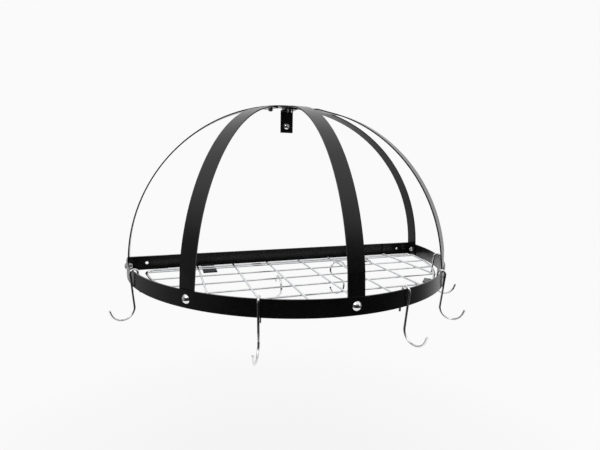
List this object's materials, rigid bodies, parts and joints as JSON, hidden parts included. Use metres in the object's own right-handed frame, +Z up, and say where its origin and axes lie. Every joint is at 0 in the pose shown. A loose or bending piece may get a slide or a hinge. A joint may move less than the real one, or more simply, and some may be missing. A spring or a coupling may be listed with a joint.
{
  "type": "hanging pot rack",
  "caption": "Half-round wall pot rack: flat-bar hoop under a dome of flat-bar ribs, with a loose wire grid inside and chrome hooks that slide along the hoop or swing on the grid.",
  "frame": {"origin": "on the wall plane, midway between the two wall screw holes, at half the hoop's height", "axes": "+Y into the wall, +X to the right as seen from the room, +Z up"},
  "size_m": [0.9568, 0.5412, 0.5523],
  "materials": {
    "black_paint": "semi-gloss black powder coat",
    "grid_wire_chrome": "bright plated wire",
    "hook_chrome": "polished chrome",
    "fastener_chrome": "polished chrome"
  },
  "bodies": {
    "rack": {"wall_bar": "black_paint", "hoop_band": "black_paint", "back_arch": "black_paint", "left_rib": "black_paint", "center_rib": "black_paint", "right_rib": "black_paint", "wall_bracket": "black_paint", "bracket_screw": "fastener_chrome", "crown_screws": "black_paint", "crown_nuts": "fastener_chrome", "foot_bolts": "fastener_chrome", "foot_washers": "fastener_chrome", "foot_nuts": "fastener_chrome", "left_rear_rest": "black_paint", "right_rear_rest": "black_paint", "left_front_rest": "black_paint", "right_front_rest": "black_paint"},
    "grid": {"grid_rim": "grid_wire_chrome", "grid_long_wire_1": "grid_wire_chrome", "grid_long_wire_2": "grid_wire_chrome", "grid_long_wire_3": "grid_wire_chrome", "grid_long_wire_4": "grid_wire_chrome", "grid_long_wire_5": "grid_wire_chrome", "grid_long_wire_6": "grid_wire_chrome", "grid_cross_wire_1": "grid_wire_chrome", "grid_cross_wire_2": "grid_wire_chrome", "grid_cross_wire_3": "grid_wire_chrome", "grid_cross_wire_4": "grid_wire_chrome", "grid_cross_wire_5": "grid_wire_chrome", "grid_cross_wire_6": "grid_wire_chrome", "grid_cross_wire_7": "grid_wire_chrome"},
    "left_side_hook": {"left_side_hook": "hook_chrome"},
    "front_left_hook": {"front_left_hook": "hook_chrome"},
    "front_right_hook": {"front_right_hook": "hook_chrome"},
    "right_hook": {"right_hook": "hook_chrome"},
    "right_side_hook": {"right_side_hook": "hook_chrome"},
    "left_grid_hook": {"left_grid_hook": "hook_chrome"},
    "right_grid_hook": {"right_grid_hook": "hook_chrome"}
  },
  "joints": [
    {"name": "grid_lift", "type": "slide", "parent": "rack", "child": "grid", "axis": [0, 0, 1], "range_m": [0, 0.04]},
    {"name": "left_side_hook_slide_along", "type": "hinge", "parent": "rack", "child": "left_side_hook", "pos_m": [0, -0.012, 0], "axis": [0, 0, 1], "range_deg": [-11, 22]},
    {"name": "front_left_hook_slide_along", "type": "hinge", "parent": "rack", "child": "front_left_hook", "pos_m": [0, -0.012, 0], "axis": [0, 0, 1], "range_deg": [-15, 21]},
    {"name": "front_right_hook_slide_along", "type": "hinge", "parent": "rack", "child": "front_right_hook", "pos_m": [0, -0.012, 0], "axis": [0, 0, 1], "range_deg": [-12.5, 8]},
    {"name": "right_hook_slide_along", "type": "hinge", "parent": "rack", "child": "right_hook", "pos_m": [0, -0.012, 0], "axis": [0, 0, 1], "range_deg": [-8, 0]},
    {"name": "right_side_hook_slide_along", "type": "hinge", "parent": "rack", "child": "right_side_hook", "pos_m": [0, -0.012, 0], "axis": [0, 0, 1], "range_deg": [-17, 16]},
    {"name": "left_grid_hook_swing", "type": "hinge", "parent": "grid", "child": "left_grid_hook", "pos_m": [-0.082, -0.20798, -0.0116], "axis": [1, 0, 0], "range_deg": [-30, 30]},
    {"name": "right_grid_hook_swing", "type": "hinge", "parent": "grid", "child": "right_grid_hook", "pos_m": [0.128, -0.11814, -0.00678], "axis": [0, 1, 0], "range_deg": [-30, 30]}
  ]
}
